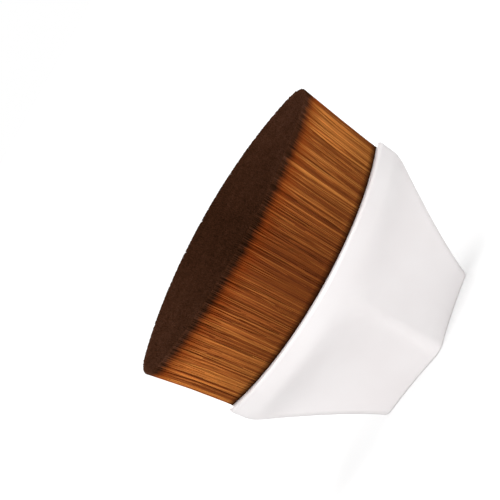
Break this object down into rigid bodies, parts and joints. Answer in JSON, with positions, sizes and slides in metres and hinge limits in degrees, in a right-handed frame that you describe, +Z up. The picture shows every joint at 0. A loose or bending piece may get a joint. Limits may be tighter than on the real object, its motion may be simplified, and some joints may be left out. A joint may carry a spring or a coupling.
{
  "type": "kabuki makeup brush",
  "caption": "Short-handled kabuki brush with a faceted white handle, a petal-shaped mouth and dense flat-cut two-tone bristles.",
  "frame": {"origin": "middle of the flat foot, on the surface that the brush stands on", "axes": "+Z up along the brush to the bristle tips, +X along the long axis of the petal mouth, +Y along its short axis"},
  "size_m": [0.0632, 0.0348, 0.0481],
  "materials": {
    "white_abs": "satin moulded",
    "cup_plastic": "matte moulded",
    "root_resin": "clear amber, poured",
    "binding_thread": "waxed thread",
    "bristle_fibre": "silky dyed fibre"
  },
  "bodies": {
    "root": {"handle_shell": "white_abs", "bristle_cup": "cup_plastic", "root_adhesive": "root_resin", "root_binding": "binding_thread", "bristle_bundle": "bristle_fibre"}
  },
  "joints": []
}
